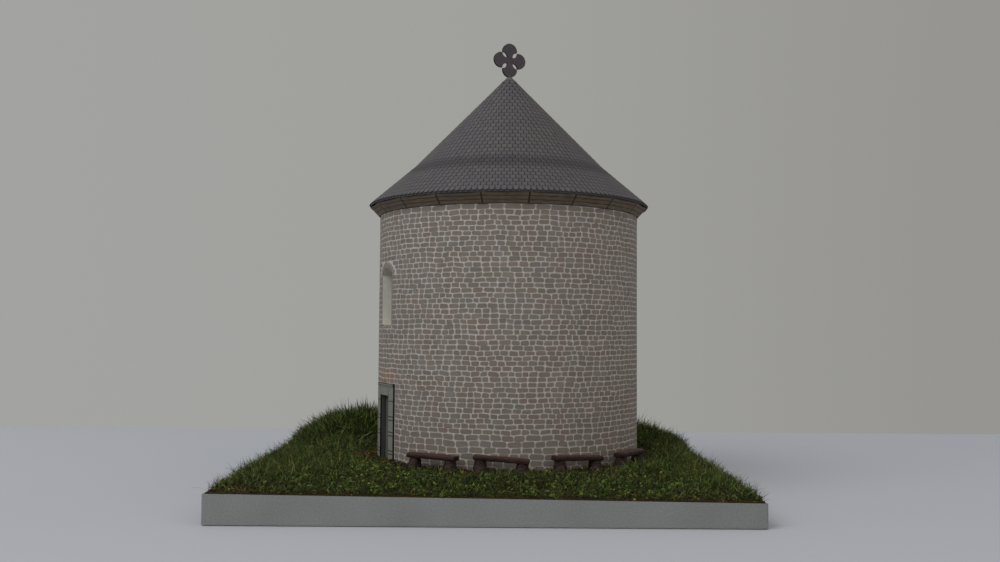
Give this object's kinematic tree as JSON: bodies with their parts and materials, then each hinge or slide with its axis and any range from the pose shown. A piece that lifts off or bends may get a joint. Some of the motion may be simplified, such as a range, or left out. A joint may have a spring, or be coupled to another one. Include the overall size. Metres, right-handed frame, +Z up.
{
  "type": "model rotunda",
  "caption": "Card model of a round stone rotunda with a conical slate roof, cross, stone doorway, arched window and log benches on a square turfed display base.",
  "frame": {"origin": "centre of the underside of the square base", "axes": "+Z up, the base's near edge faces -Y, the door and window face 65 degrees to the left of -Y"},
  "size_m": [0.2, 0.2, 0.2015],
  "materials": {
    "foam_board": "foam board, matt",
    "edging_card": "grey card, matt",
    "turf": "earth-coloured filler under static grass",
    "stone_card": "card with coursed stone, matt",
    "door_card": "dark card, matt",
    "doorway_card": "grey card, matt",
    "earth": "brown earth filler",
    "surround_card": "grey card, black edges",
    "window_card": "light card, matt",
    "pane_card": "dark card, matt",
    "cornice_card": "brown card with boards, matt",
    "slate_card": "card with slates, slight sheen",
    "cap_card": "plain grey card",
    "cross_card": "dark card, black edges",
    "seat_wood": "stained strip of wood",
    "stump_wood": "short lengths of twig, dark"
  },
  "bodies": {
    "root": {"base_board": "foam_board", "edging_front": "edging_card", "edging_right": "edging_card", "edging_back": "edging_card", "edging_left": "edging_card", "ground_front": "turf", "ground_right": "turf", "ground_back": "turf", "ground_left": "turf", "wall_front": "stone_card", "wall_right": "stone_card", "wall_back": "stone_card", "wall_left": "stone_card", "wall_beside_door_left": "stone_card", "wall_beside_door_right": "stone_card", "wall_over_door": "stone_card", "wall_beside_window_left": "stone_card", "wall_beside_window_right": "stone_card", "wall_over_window": "stone_card", "door_leaf": "door_card", "door_lining": "doorway_card", "door_sill": "earth", "door_jamb_left": "surround_card", "door_jamb_right": "surround_card", "door_lintel": "surround_card", "window_lining": "window_card", "window_pane": "pane_card", "cornice_front": "cornice_card", "cornice_back": "cornice_card", "roof_skirt": "slate_card", "roof_cone": "slate_card", "roof_cap": "cap_card", "cross": "cross_card", "bench_1_seat": "seat_wood", "bench_1_stump_left": "stump_wood", "bench_1_stump_right": "stump_wood", "bench_2_seat": "seat_wood", "bench_2_stump_left": "stump_wood", "bench_2_stump_right": "stump_wood", "bench_3_seat": "seat_wood", "bench_3_stump_left": "stump_wood", "bench_3_stump_right": "stump_wood", "bench_4_seat": "seat_wood", "bench_4_stump_left": "stump_wood", "bench_4_stump_right": "stump_wood"}
  },
  "joints": []
}
